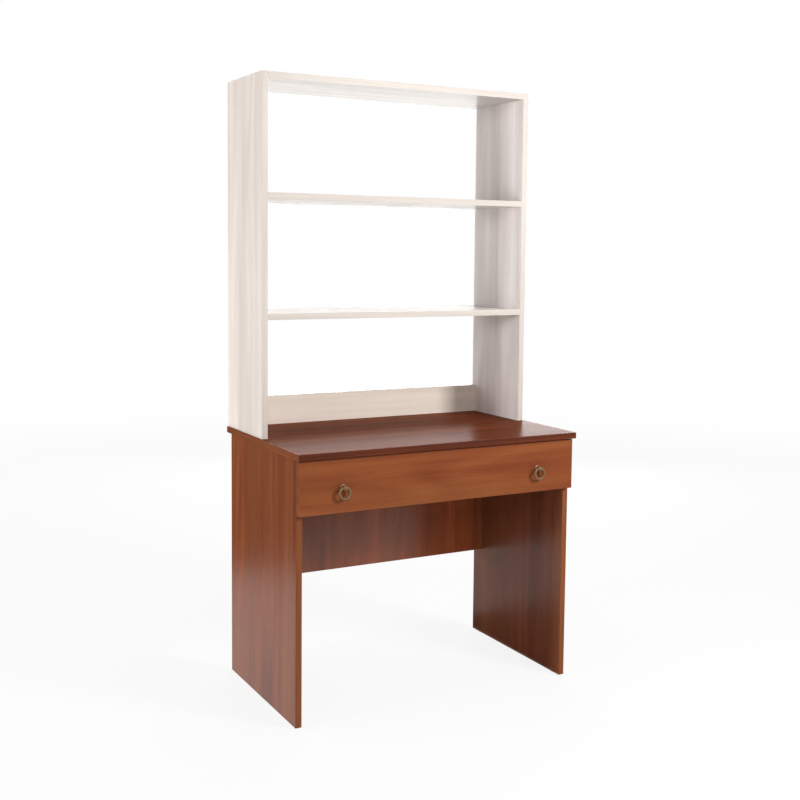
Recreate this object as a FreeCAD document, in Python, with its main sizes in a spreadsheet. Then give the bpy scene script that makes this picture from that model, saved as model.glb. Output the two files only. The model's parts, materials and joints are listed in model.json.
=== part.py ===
# Student desk with a hutch: a full-width drawer on roller slides, and an open shelf unit on the desktop.
# Millimetres. The origin is on the floor under the middle of the desktop, with +X to the right and +Z up.
# The drawer side of the desk faces -Y.

import FreeCAD, Part
import os
import Sketcher
from FreeCAD import Placement, Rotation, Vector

SIZES = {
    # Boards and their glued edge bands
    "board_thickness": 18.0,
    "band_thickness": 1.0,
    "band_round_share": 0.6,
    # Desk base
    "desktop_width": 900.0,
    "desktop_depth": 550.0,
    "desk_height": 755.0,
    "side_overhang": 5.0,
    "rear_overhang": 25.0,
    "modesty_inset": 33.0,
    "modesty_floor_gap": 291.0,
    "glide_height": 3.0,
    "glide_radius": 8.0,
    "glide_pin_radius": 1.5,
    "glide_pin_length": 14.0,
    "glide_end_inset": 40.0,
    # Hutch
    "hutch_inset": 5.0,
    "hutch_depth": 274.0,
    "lower_bay_height": 338.0,
    "middle_bay_height": 322.0,
    "top_bay_height": 315.0,
    "rail_height": 88.0,
    # Drawer
    "drawer_front_setback": 11.0,
    "drawer_front_height": 148.0,
    "drawer_top_reveal": 3.0,
    "drawer_front_gap": 1.5,
    "drawer_box_rise": 14.0,
    "drawer_box_height": 100.0,
    "drawer_rear_gap": 15.0,
    "drawer_board_thickness": 12.0,
    "drawer_bottom_thickness": 4.0,
    "drawer_bottom_rise": 16.0,
    "groove_depth": 6.0,
    "groove_clearance": 0.1,
    "drawer_overlap": 120.0,
    # Ring pulls
    "pull_end_inset": 128.0,
    "pull_rise": 70.0,
    "rosette_radius": 9.0,
    "rosette_rim": 1.2,
    "rosette_height": 3.0,
    "pull_neck_radius": 4.0,
    "pull_eye_height": 14.0,
    "pull_ball_radius": 7.5,
    "ring_radius": 15.5,
    "ring_wire_radius": 4.0,
    "ring_clearance": 0.3,
    "pull_screw_engagement": 6.0,
    # Roller slides
    "slide_gap": 12.5,
    "runner_thickness": 1.2,
    "runner_bend_share": 0.9,
    "runner_rear_setback": 8.0,
    "cabinet_runner_setback": 2.0,
    "drawer_runner_setback": 2.0,
    "channel_floor_width": 10.3,
    "channel_lip_width": 4.2,
    "track_width": 8.0,
    "box_above_channel": 4.0,
    "roller_radius": 10.0,
    "roller_width": 7.0,
    "roller_edge_radius": 0.8,
    "roller_end_inset": 14.0,
    "rolling_gap": 0.3,
    "roller_side_play": 0.4,
    "track_clearance": 0.5,
    "axle_radius": 2.5,
    "axle_head_radius": 4.0,
    "axle_head_height": 0.9,
    "axle_clearance": 0.05,
    "stop_height": 5.0,
    "stop_thickness": 2.0,
    "stop_clearance": 0.5,
    "runner_screw_inset": 60.0,
    # Cam locks, cam bolts and dowels of the 18 mm boards
    "cam_radius": 7.5,
    "cam_recess_reach_share": 0.55,
    "cam_recess_width_share": 0.12,
    "cam_recess_depth": 1.6,
    "cam_skin": 5.0,
    "cam_reach": 24.0,
    "bolt_anchor_radius": 3.0,
    "bolt_anchor_length": 11.0,
    "bolt_shank_radius": 2.5,
    "bolt_head_radius": 3.2,
    "bolt_head_length": 3.0,
    "bolt_bore_radius": 3.6,
    "dowel_radius": 4.0,
    "dowel_length": 30.0,
    "dowel_chamfer": 1.0,
    "dowel_face_depth": 10.0,
    "fit_clearance": 0.05,
    "hole_end_clearance": 0.5,
    "desk_cam_inset": 65.0,
    "desk_dowel_inset": 115.0,
    "modesty_cam_inset": 60.0,
    "hutch_cam_inset": 50.0,
    "hutch_base_dowel_inset": 60.0,
    "rail_cam_height": 30.0,
    "rail_dowel_height": 62.0,
    # Smaller cam locks of the drawer box
    "drawer_cam_radius": 6.0,
    "drawer_cam_skin": 2.5,
    "drawer_cam_reach": 20.0,
    "drawer_cam_low": 44.0,
    "drawer_cam_high": 80.0,
    # Screws
    "screw_radius": 1.9,
    "screw_head_radius": 3.6,
    "screw_head_height": 1.0,
    "screw_recess_reach_share": 0.55,
    "screw_recess_width_share": 0.14,
    "screw_recess_depth_share": 0.6,
    "runner_screw_length": 13.0,
    "corner_screw_length": 40.0,
    "corner_screw_low": 42.0,
    "corner_screw_high": 84.0,
    "rail_screw_length": 50.0,
    "rail_screw_spacing": 300.0,
    # Cuts run this far past the faces that they open, and edges are picked this close to a face
    "cut_overrun": 2.0,
    "pick_tolerance": 0.001,
}

AXES = "XYZ"
PLANES = {"X": "YZ_Plane", "Y": "XZ_Plane", "Z": "XY_Plane"}
PLANE_SIGNS = {"X": 1, "Y": -1, "Z": 1}
UNITS = {"X": Vector(1, 0, 0), "Y": Vector(0, 1, 0), "Z": Vector(0, 0, 1)}
SIDES = {"left": -1, "right": 1}

doc = FreeCAD.newDocument("student_desk")
sheet = doc.addObject("Spreadsheet::Sheet", "Sizes")
for row, (size_name, size) in enumerate(SIZES.items(), start=1):
    sheet.set(f"A{row}", size_name)
    sheet.set(f"B{row}", str(size))
    sheet.setAlias(f"B{row}", size_name)
doc.recompute()

nodes = []


# Places along each axis, as expressions on the sheet

BOARD = "Sizes.board_thickness"
BAND = "Sizes.band_thickness"

desk_outer = "(Sizes.desktop_width / 2 - Sizes.side_overhang)"
desk_inner = f"({desk_outer} - {BOARD})"
desk_middle = f"({desk_outer} - {BOARD} / 2)"
hutch_outer = "(Sizes.desktop_width / 2 - Sizes.hutch_inset)"
hutch_inner = f"({hutch_outer} - {BOARD})"
hutch_middle = f"({hutch_outer} - {BOARD} / 2)"
box_outer = f"({desk_inner} - Sizes.slide_gap)"
box_inner = f"({box_outer} - Sizes.drawer_board_thickness)"
box_middle = f"({box_outer} - Sizes.drawer_board_thickness / 2)"
pull_x = f"({desk_outer} - Sizes.pull_end_inset)"

front_y = "(-Sizes.desktop_depth / 2)"
rear_y = "(Sizes.desktop_depth / 2)"
drawer_face_y = f"({front_y} + Sizes.drawer_front_setback)"
drawer_back_of_front_y = f"({drawer_face_y} + {BOARD})"
side_front_y = f"({drawer_back_of_front_y} + Sizes.drawer_front_gap)"
side_rear_y = f"({rear_y} - Sizes.rear_overhang)"
modesty_rear_y = f"({side_rear_y} - Sizes.modesty_inset)"
modesty_front_y = f"({modesty_rear_y} - {BOARD})"
modesty_middle_y = f"({modesty_rear_y} - {BOARD} / 2)"
hutch_front_y = f"({rear_y} - Sizes.hutch_depth)"
hutch_middle_y = f"({rear_y} - Sizes.hutch_depth / 2)"
rail_front_y = f"({rear_y} - {BOARD})"
rail_middle_y = f"({rear_y} - {BOARD} / 2)"
box_rear_y = f"({modesty_front_y} - Sizes.drawer_rear_gap)"
back_front_y = f"({box_rear_y} - Sizes.drawer_board_thickness)"
back_middle_y = f"({box_rear_y} - Sizes.drawer_board_thickness / 2)"

under_top_z = f"(Sizes.desk_height - {BOARD})"
top_z = "Sizes.desk_height"
lower_shelf_z = f"({top_z} + Sizes.lower_bay_height)"
upper_shelf_z = f"({lower_shelf_z} + {BOARD} + Sizes.middle_bay_height)"
hutch_top_z = f"({upper_shelf_z} + {BOARD} + Sizes.top_bay_height)"
hutch_crown_z = f"({hutch_top_z} + {BOARD})"
front_high_z = f"({under_top_z} - Sizes.drawer_top_reveal)"
front_low_z = f"({front_high_z} - Sizes.drawer_front_height)"
pull_z = f"({front_low_z} + Sizes.pull_rise)"
box_low_z = f"({front_low_z} + Sizes.drawer_box_rise)"
box_high_z = f"({box_low_z} + Sizes.drawer_box_height)"
bottom_z = f"({box_low_z} + Sizes.drawer_bottom_rise)"

# Roller slide levels, from the channel floor up
channel_z = f"({box_low_z} - Sizes.box_above_channel)"
rear_axle_z = f"({channel_z} + Sizes.rolling_gap + Sizes.roller_radius)"
lip_z = f"({rear_axle_z} + Sizes.roller_radius + Sizes.rolling_gap)"
track_z = f"({lip_z} + Sizes.runner_thickness + Sizes.track_clearance)"
front_axle_z = f"({track_z} - Sizes.rolling_gap - Sizes.roller_radius)"
cabinet_runner_y = f"({side_front_y} + Sizes.cabinet_runner_setback)"
drawer_runner_y = f"({drawer_back_of_front_y} + Sizes.drawer_runner_setback)"
runner_length = f"({box_rear_y} - {drawer_runner_y} - Sizes.runner_rear_setback)"
drawer_travel = f"({runner_length} - Sizes.drawer_overlap)"
front_axle_y = f"({cabinet_runner_y} + Sizes.roller_end_inset)"
rear_axle_y = f"({drawer_runner_y} + {runner_length} - Sizes.roller_end_inset)"
stop_y = (
    f"({rear_axle_y} - {drawer_travel} - Sizes.roller_radius"
    " - Sizes.stop_clearance - Sizes.stop_thickness)"
)

# The ring's bend inside the eye, and the eye that clears it at every angle
ring_sag = "(Sizes.ring_radius - sqrt(Sizes.ring_radius ^ 2 - Sizes.pull_ball_radius ^ 2))"
eye_radius = f"(Sizes.ring_wire_radius + {ring_sag} / 2 + Sizes.ring_clearance)"
eye_y = f"({drawer_face_y} - Sizes.pull_eye_height)"
ring_z = f"({pull_z} + {ring_sag} / 2 - Sizes.ring_radius)"

bolt_hole_radius = "(Sizes.bolt_anchor_radius + Sizes.fit_clearance)"
dowel_hole_radius = "(Sizes.dowel_radius + Sizes.fit_clearance)"
screw_hole_radius = "(Sizes.screw_radius + Sizes.fit_clearance)"
axle_hole_radius = "(Sizes.axle_radius + Sizes.axle_clearance)"


# Sketch and feature helpers


def value(expression):
    return float(sheet.evalExpression(expression))


def new_body(label, is_node=True):
    body = doc.addObject("PartDesign::Body", label)
    body.Label = label
    if is_node:
        nodes.append(body)
    return body


def new_sketch(body, axis, level):
    """A sketch square to an axis, at a level along it."""
    plane = next(each for each in body.Origin.OriginFeatures if each.Role == PLANES[axis])
    sketch = body.newObject("Sketcher::SketchObject", f"{body.Label}_sketch")
    sketch.AttachmentSupport = [(plane, "")]
    sketch.MapMode = "FlatFace"
    sketch.setExpression("AttachmentOffset.Base.z", f"{PLANE_SIGNS[axis]} * ({level})")
    return sketch


def constrain(sketch, kind, geometry, expression):
    target = (-1, 1) + geometry if kind.startswith("Distance") else geometry
    index = sketch.addConstraint(Sketcher.Constraint(kind, *target, value(expression)))
    sketch.setExpression(f"Constraints[{index}]", expression)


def draw_outline(sketch, corners):
    """A closed outline through the corners, each held to the sketch's origin."""
    spots = [Vector(value(across), value(up), 0) for across, up in corners]
    first = sketch.GeometryCount
    for index, spot in enumerate(spots):
        following = spots[(index + 1) % len(spots)]
        sketch.addGeometry(Part.LineSegment(spot, following), False)
    for index, (across, up) in enumerate(corners):
        line = first + index
        following = first + (index + 1) % len(spots)
        sketch.addConstraint(Sketcher.Constraint("Coincident", line, 2, following, 1))
        constrain(sketch, "DistanceX", (line, 1), across)
        constrain(sketch, "DistanceY", (line, 1), up)


def draw_circle(sketch, across, up, radius):
    centre = Vector(value(across), value(up), 0)
    circle = sketch.addGeometry(Part.Circle(centre, UNITS["Z"], value(radius)), False)
    constrain(sketch, "DistanceX", (circle, 3), across)
    constrain(sketch, "DistanceY", (circle, 3), up)
    constrain(sketch, "Radius", (circle,), radius)


def box_corners(across, up):
    return [(across[0], up[0]), (across[1], up[0]), (across[1], up[1]), (across[0], up[1])]


def pad(body, axis, span, corners=None, circles=()):
    """Material between two levels of an axis."""
    low, high = span
    sketch = new_sketch(body, axis, low if PLANE_SIGNS[axis] > 0 else high)
    if corners:
        draw_outline(sketch, corners)
    for circle in circles:
        draw_circle(sketch, *circle)
    feature = body.newObject("PartDesign::Pad", f"{body.Label}_pad")
    feature.Profile = sketch
    feature.setExpression("Length", f"({high}) - ({low})")
    return feature


def cut(body, axis, level, toward, depth, corners=None, circles=()):
    """A pocket that starts at a level of an axis and goes up or down it."""
    sketch = new_sketch(body, axis, level)
    if corners:
        draw_outline(sketch, corners)
    for circle in circles:
        draw_circle(sketch, *circle)
    feature = body.newObject("PartDesign::Pocket", f"{body.Label}_pocket")
    feature.Profile = sketch
    feature.Type = "Length"
    feature.Reversed = toward == PLANE_SIGNS[axis]
    feature.setExpression("Length", depth)
    return feature


def revolve(body, corners):
    """A turned piece about Z, from an outline of radii and heights."""
    sketch = new_sketch(body, "Y", "0")
    draw_outline(sketch, corners)
    feature = body.newObject("PartDesign::Revolution", f"{body.Label}_turning")
    feature.Profile = sketch
    feature.ReferenceAxis = (sketch, ["V_Axis"])
    feature.Angle = 360
    return feature


def board(label, normal, x, y, z, is_node=True):
    """A flat board, padded along its thickness."""
    spans = dict(zip(AXES, (x, y, z)))
    across, up = [spans[axis] for axis in AXES if axis != normal]
    body = new_body(label, is_node)
    pad(body, normal, spans[normal], box_corners(across, up))
    return body


def mirrored(side, near, far):
    """A span between two distances from the middle, on the left (-1) or the right (1)."""
    return (near, far) if side > 0 else (f"(-{far})", f"(-{near})")


def on_side(side, distance):
    return f"({side} * {distance})"


def centred(half):
    return (f"(-{half})", half)


def box_faces(body, *faces):
    """The levels of faces of a solid's box, each named by an axis and a side, such as ("Y", -1)."""
    box = body.Shape.BoundBox
    return {axis: getattr(box, f"{axis}Max" if side > 0 else f"{axis}Min") for axis, side in faces}


def lies_on(edge, axis, level):
    reach = (getattr(edge.BoundBox, f"{axis}Min"), getattr(edge.BoundBox, f"{axis}Max"))
    return max(abs(place - level) for place in reach) < value("Sizes.pick_tolerance")


def round_edges(body, radius, picks):
    """Rounds the edges that lie on every level of one of the picks, such as {"Y": 0.0, "Z": 5.0}."""
    base = body.Tip
    names = [
        f"Edge{number}"
        for number, edge in enumerate(base.Shape.Edges, start=1)
        if any(all(lies_on(edge, *level) for level in pick.items()) for pick in picks)
    ]
    feature = body.newObject("PartDesign::Fillet", f"{body.Label}_round")
    feature.Base = (base, names)
    feature.setExpression("Radius", radius)


def group(label, members):
    """Separate solids that share a node."""
    compound = doc.addObject("Part::Compound", label)
    compound.Label = label
    compound.Links = members
    nodes.append(compound)


def turn(up, along):
    """The turn that takes Z to one direction and X to another, square to it."""
    return Rotation(along, up.cross(along), up, "ZXY")


def copies(label, places):
    """A node of repeated pieces: each place has a pattern piece, a point and a turn."""
    links = []
    for number, (pattern, point, rotation) in enumerate(places):
        link = doc.addObject("App::Link", f"{label}_{number}")
        link.LinkedObject = pattern
        link.Placement = Placement(Vector(), rotation)
        for axis, place in zip("xyz", point):
            link.setExpression(f"Placement.Base.{axis}", place)
        links.append(link)
    group(label, links)


def flat(point, axis):
    """The two coordinates of a point in a sketch square to an axis."""
    return [place for name, place in zip(AXES, point) if name != axis]


def replaced(point, axis, place):
    return tuple(place if name == axis else old for name, old in zip(AXES, point))


def other_axis(axis):
    return UNITS[AXES[(AXES.index(axis) + 1) % len(AXES)]]


# Pattern pieces for the fasteners, at the origin


def recess_corners(reach, half_width):
    """The outline of a cross for a screwdriver, about the origin."""
    corners = []
    for x, y in ((1, 1), (-1, 1), (-1, -1), (1, -1)):
        wide = (on_side(x, reach), on_side(y, half_width))
        tall = (on_side(x, half_width), on_side(y, reach))
        inner = (on_side(x, half_width), on_side(y, half_width))
        corners += [wide, inner, tall] if x == y else [tall, inner, wide]
    return corners


def make_dowel():
    low = "(-Sizes.dowel_face_depth)"
    high = "(Sizes.dowel_length - Sizes.dowel_face_depth)"
    tip_radius = "Sizes.dowel_radius - Sizes.dowel_chamfer"
    body = new_body("dowel_pattern", is_node=False)
    revolve(body, [
        ("0", low),
        (tip_radius, low),
        ("Sizes.dowel_radius", f"{low} + Sizes.dowel_chamfer"),
        ("Sizes.dowel_radius", f"{high} - Sizes.dowel_chamfer"),
        (tip_radius, high),
        ("0", high),
    ])
    return body


def make_cam_lock(label, radius, thickness, skin):
    """A round lock, flush with the board's face, open on one side for the head of its bolt."""
    body = new_body(label, is_node=False)
    pad(body, "Z", (f"{skin} - {thickness}", "0"), circles=[("0", "0", radius)])
    channel = ("0", f"-{thickness} / 2", "Sizes.bolt_bore_radius")
    channel_length = f"{radius} + 2 * Sizes.bolt_bore_radius"
    cut(body, "X", "-Sizes.bolt_bore_radius", 1, channel_length, circles=[channel])
    recess = recess_corners(
        f"({radius} * Sizes.cam_recess_reach_share)", f"({radius} * Sizes.cam_recess_width_share)"
    )
    cut(body, "Z", "0", -1, "Sizes.cam_recess_depth", recess)
    return body


def make_cam_bolt(label, reach):
    """Its anchor goes into a board's face (-Z), its head into the lock of the other board (+Z)."""
    head_low = f"({reach} - Sizes.bolt_head_length / 2)"
    head_high = f"({reach} + Sizes.bolt_head_length / 2)"
    body = new_body(label, is_node=False)
    revolve(body, [
        ("0", "-Sizes.bolt_anchor_length"),
        ("Sizes.bolt_anchor_radius", "-Sizes.bolt_anchor_length"),
        ("Sizes.bolt_anchor_radius", "0"),
        ("Sizes.bolt_shank_radius", "0"),
        ("Sizes.bolt_shank_radius", head_low),
        ("Sizes.bolt_head_radius", head_low),
        ("Sizes.bolt_head_radius", head_high),
        ("0", head_high),
    ])
    return body


def make_screw(label, length):
    """A pan-head screw: the head below the origin, the shank up along Z to a point."""
    body = new_body(label, is_node=False)
    revolve(body, [
        ("0", "-Sizes.screw_head_height"),
        ("Sizes.screw_head_radius", "-Sizes.screw_head_height"),
        ("Sizes.screw_head_radius", "0"),
        ("Sizes.screw_radius", "0"),
        ("Sizes.screw_radius", f"{length} - 2 * Sizes.screw_radius"),
        ("0", length),
    ])
    recess = recess_corners(
        "(Sizes.screw_head_radius * Sizes.screw_recess_reach_share)",
        "(Sizes.screw_head_radius * Sizes.screw_recess_width_share)",
    )
    recess_depth = "Sizes.screw_head_height * Sizes.screw_recess_depth_share"
    cut(body, "Z", "-Sizes.screw_head_height", 1, recess_depth, recess)
    return body


def make_glide():
    """A nail-on glide: a bevelled foot below the origin, and its pin above."""
    body = new_body("glide_pattern", is_node=False)
    revolve(body, [
        ("0", "-Sizes.glide_height"),
        ("Sizes.glide_radius - Sizes.glide_height / 2", "-Sizes.glide_height"),
        ("Sizes.glide_radius", "-Sizes.glide_height / 2"),
        ("Sizes.glide_radius", "0"),
        ("Sizes.glide_pin_radius", "0"),
        ("Sizes.glide_pin_radius", "Sizes.glide_pin_length"),
        ("0", "Sizes.glide_pin_length"),
    ])
    return body


def make_axle():
    """A riveted roller axle, from the back of its runner's web out to its head."""
    head_low = "(Sizes.runner_thickness + 2 * Sizes.roller_side_play + Sizes.roller_width)"
    head_high = f"({head_low} + Sizes.axle_head_height)"
    body = new_body("axle_pattern", is_node=False)
    revolve(body, [
        ("0", "0"),
        ("Sizes.axle_radius", "0"),
        ("Sizes.axle_radius", head_low),
        ("Sizes.axle_head_radius", head_low),
        ("Sizes.axle_head_radius", head_high),
        ("0", head_high),
    ])
    return body


dowel = make_dowel()
cam_lock = make_cam_lock("cam_lock_pattern", "Sizes.cam_radius", BOARD, "Sizes.cam_skin")
cam_bolt = make_cam_bolt("cam_bolt_pattern", "Sizes.cam_reach")
drawer_cam_lock = make_cam_lock(
    "drawer_cam_lock_pattern",
    "Sizes.drawer_cam_radius",
    "Sizes.drawer_board_thickness",
    "Sizes.drawer_cam_skin",
)
drawer_cam_bolt = make_cam_bolt("drawer_cam_bolt_pattern", "Sizes.drawer_cam_reach")
runner_screw = make_screw("runner_screw_pattern", "Sizes.runner_screw_length")
corner_screw = make_screw("corner_screw_pattern", "Sizes.corner_screw_length")
rail_screw = make_screw("rail_screw_pattern", "Sizes.rail_screw_length")
pull_screw = make_screw("pull_screw_pattern", f"{BOARD} + Sizes.pull_screw_engagement")
glide = make_glide()
axle = make_axle()


# Joints between boards: a face board and an edge board meet at the joint points


def join_with_dowels(face_board, edge_board, axis, toward, points):
    """Drills both boards for dowels along an axis, and gives the dowels' places."""
    level = points[0][AXES.index(axis)]
    circles = [(*flat(point, axis), dowel_hole_radius) for point in points]
    face_depth = "Sizes.dowel_face_depth + Sizes.hole_end_clearance"
    edge_depth = "Sizes.dowel_length - Sizes.dowel_face_depth + Sizes.hole_end_clearance"
    cut(face_board, axis, level, -toward, face_depth, circles=circles)
    cut(edge_board, axis, level, toward, edge_depth, circles=circles)
    rotation = turn(UNITS[axis] * toward, other_axis(axis))
    return [(dowel, point, rotation) for point in points]


def join_with_cams(face_board, edge_board, axis, toward, points, lock_face, small=False):
    """Drills both boards for cam bolts and locks, and gives the places of the bolts and the locks.

    The lock face is the edge board's face that takes the locks: its axis, level and outward side.
    """
    lock_axis, lock_level, lock_out = lock_face
    prefix = "Sizes.drawer_cam" if small else "Sizes.cam"
    thickness = "Sizes.drawer_board_thickness" if small else BOARD
    level = points[0][AXES.index(axis)]
    lock_centres = [
        replaced(replaced(point, axis, f"({level} + {toward} * {prefix}_reach)"), lock_axis, lock_level)
        for point in points
    ]
    anchor_holes = [(*flat(point, axis), bolt_hole_radius) for point in points]
    shank_holes = [(*flat(point, axis), "Sizes.bolt_bore_radius") for point in points]
    lock_radius = f"({prefix}_radius + Sizes.fit_clearance)"
    lock_holes = [(*flat(centre, lock_axis), lock_radius) for centre in lock_centres]
    anchor_depth = "Sizes.bolt_anchor_length + Sizes.hole_end_clearance"
    shank_depth = f"{prefix}_reach + Sizes.bolt_head_length / 2 + Sizes.hole_end_clearance"
    lock_depth = f"{thickness} - {prefix}_skin + Sizes.fit_clearance"
    cut(face_board, axis, level, -toward, anchor_depth, circles=anchor_holes)
    cut(edge_board, axis, level, toward, shank_depth, circles=shank_holes)
    cut(edge_board, lock_axis, lock_level, -lock_out, lock_depth, circles=lock_holes)
    bolt_turn = turn(UNITS[axis] * toward, other_axis(axis))
    lock_turn = turn(UNITS[lock_axis] * lock_out, UNITS[axis] * -toward)
    bolts = [(drawer_cam_bolt if small else cam_bolt, point, bolt_turn) for point in points]
    locks = [(drawer_cam_lock if small else cam_lock, centre, lock_turn) for centre in lock_centres]
    return bolts, locks


# Desk base


def make_desk():
    """Desktop, sides and modesty panel, with bands and fasteners; gives the boards that others drill."""
    half_width = "(Sizes.desktop_width / 2)"
    desktop_z = (under_top_z, top_z)
    core_front = f"({front_y} + {BAND})"
    desktop = board("desktop", "Z", centred(f"({half_width} - {BAND})"), (core_front, rear_y), desktop_z)
    board("desktop_front_band", "Y", centred(half_width), (front_y, core_front), desktop_z)
    end_bands = [
        board(f"{name}_end_strip", "X", mirrored(side, f"({half_width} - {BAND})", half_width),
              (core_front, rear_y), desktop_z, is_node=False)
        for name, side in SIDES.items()
    ]
    group("desktop_end_bands", end_bands)

    side_core_front = f"({side_front_y} + {BAND})"
    side_z = ("Sizes.glide_height", under_top_z)
    sides = {}
    for name, side in SIDES.items():
        x = mirrored(side, desk_inner, desk_outer)
        sides[name] = board(f"{name}_side_panel", "X", x, (side_core_front, side_rear_y), side_z)
        board(f"{name}_side_front_band", "Y", x, (side_front_y, side_core_front), side_z)

    modesty_low = f"(Sizes.modesty_floor_gap + {BAND})"
    modesty_y = (modesty_front_y, modesty_rear_y)
    modesty = board("modesty_panel", "Y", centred(desk_inner), modesty_y, (modesty_low, under_top_z))
    band_z = ("Sizes.modesty_floor_gap", modesty_low)
    board("modesty_bottom_band", "Z", centred(desk_inner), modesty_y, band_z)

    bolts, locks, dowels, glides = [], [], [], []
    for name, side in SIDES.items():
        middle = on_side(side, desk_middle)
        inner = on_side(side, desk_inner)

        def along_side(inset):
            ends = (f"({side_front_y} + {inset})", f"({side_rear_y} - {inset})")
            return [(middle, y, under_top_z) for y in ends]

        def up_modesty(inset):
            ends = (f"({modesty_low} + {inset})", f"({under_top_z} - {inset})")
            return [(inner, modesty_middle_y, z) for z in ends]

        top_bolts, top_locks = join_with_cams(
            desktop, sides[name], "Z", -1, along_side("Sizes.desk_cam_inset"), ("X", inner, -side)
        )
        modesty_bolts, modesty_locks = join_with_cams(
            sides[name], modesty, "X", -side, up_modesty("Sizes.modesty_cam_inset"), ("Y", modesty_rear_y, 1)
        )
        bolts += top_bolts + modesty_bolts
        locks += top_locks + modesty_locks
        modesty_centre = (inner, modesty_middle_y, f"(({modesty_low} + {under_top_z}) / 2)")
        dowels += join_with_dowels(desktop, sides[name], "Z", -1, along_side("Sizes.desk_dowel_inset"))
        dowels += join_with_dowels(sides[name], modesty, "X", -side, [modesty_centre])

        glide_ends = along_side("Sizes.glide_end_inset")
        glide_points = [replaced(point, "Z", "Sizes.glide_height") for point in glide_ends]
        pin_radius = "(Sizes.glide_pin_radius + Sizes.fit_clearance)"
        pin_depth = "Sizes.glide_pin_length + Sizes.hole_end_clearance"
        pin_holes = [(*flat(point, "Z"), pin_radius) for point in glide_points]
        cut(sides[name], "Z", "Sizes.glide_height", 1, pin_depth, circles=pin_holes)
        glides += [(glide, point, Rotation()) for point in glide_points]
    copies("desk_cam_bolts", bolts)
    copies("desk_cam_locks", locks)
    copies("desk_dowels", dowels)
    copies("floor_glides", glides)
    return desktop, sides


# Hutch


def make_hutch(desktop):
    """Sides, top, two shelves and a low rear rail, with their bands and fasteners."""
    core_front = f"({hutch_front_y} + {BAND})"
    depth = (core_front, rear_y)
    band_depth = (hutch_front_y, core_front)
    sides = {}
    for name, side in SIDES.items():
        x = mirrored(side, hutch_inner, hutch_outer)
        sides[name] = board(f"hutch_{name}_side", "X", x, depth, (top_z, hutch_crown_z))
        board(f"hutch_{name}_front_band", "Y", x, band_depth, (top_z, hutch_crown_z))

    # Each level's lock face: under the shelves, above the top, where it doesn't show
    levels = {
        "lower_shelf": (lower_shelf_z, -1),
        "upper_shelf": (upper_shelf_z, -1),
        "hutch_top": (hutch_top_z, 1),
    }
    decks = {}
    for name, (low, _) in levels.items():
        z = (low, f"({low} + {BOARD})")
        decks[name] = board(name, "Z", centred(hutch_inner), depth, z)
        board(f"{name}_front_band", "Y", centred(hutch_inner), band_depth, z)

    rail_y = (rail_front_y, rear_y)
    rail_high = f"({top_z} + Sizes.rail_height)"
    rail_core_high = f"({rail_high} - {BAND})"
    rail = board("hutch_rear_rail", "Y", centred(hutch_inner), rail_y, (top_z, rail_core_high))
    board("rail_top_band", "Z", centred(hutch_inner), rail_y, (rail_core_high, rail_high))

    def depth_ends(inset):
        return (f"({hutch_front_y} + {inset})", f"({rear_y} - {inset})")

    bolts, locks, dowels, base_dowels = [], [], [], []
    for name, side in SIDES.items():
        inner = on_side(side, hutch_inner)
        for deck, (low, lock_out) in levels.items():
            middle_z = f"({low} + {BOARD} / 2)"
            lock_level = f"({low} + {BOARD})" if lock_out > 0 else low
            points = [(inner, y, middle_z) for y in depth_ends("Sizes.hutch_cam_inset")]
            deck_bolts, deck_locks = join_with_cams(
                sides[name], decks[deck], "X", -side, points, ("Z", lock_level, lock_out)
            )
            bolts += deck_bolts
            locks += deck_locks
            centre = (inner, hutch_middle_y, middle_z)
            dowels += join_with_dowels(sides[name], decks[deck], "X", -side, [centre])
        rail_cam = (inner, rail_middle_y, f"({top_z} + Sizes.rail_cam_height)")
        rail_dowel = (inner, rail_middle_y, f"({top_z} + Sizes.rail_dowel_height)")
        rail_bolts, rail_locks = join_with_cams(sides[name], rail, "X", -side, [rail_cam], ("Y", rear_y, 1))
        bolts += rail_bolts
        locks += rail_locks
        dowels += join_with_dowels(sides[name], rail, "X", -side, [rail_dowel])
        base_ends = depth_ends("Sizes.hutch_base_dowel_inset")
        base_points = [(on_side(side, hutch_middle), y, top_z) for y in base_ends]
        base_dowels += join_with_dowels(desktop, sides[name], "Z", 1, base_points)
    copies("hutch_cam_bolts", bolts)
    copies("hutch_cam_locks", locks)
    copies("hutch_dowels", dowels)
    copies("hutch_base_dowels", base_dowels)

    screw_xs = [f"({step} * Sizes.rail_screw_spacing)" for step in (-1, 0, 1)]
    screw_points = [(x, rail_middle_y, under_top_z) for x in screw_xs]
    screw_holes = [(*flat(point, "Z"), screw_hole_radius) for point in screw_points]
    rail_depth = f"Sizes.rail_screw_length - {BOARD} + Sizes.hole_end_clearance"
    cut(desktop, "Z", under_top_z, 1, BOARD, circles=screw_holes)
    cut(rail, "Z", top_z, 1, rail_depth, circles=screw_holes)
    copies("rail_screws", [(rail_screw, point, Rotation()) for point in screw_points])


# Drawer


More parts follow.
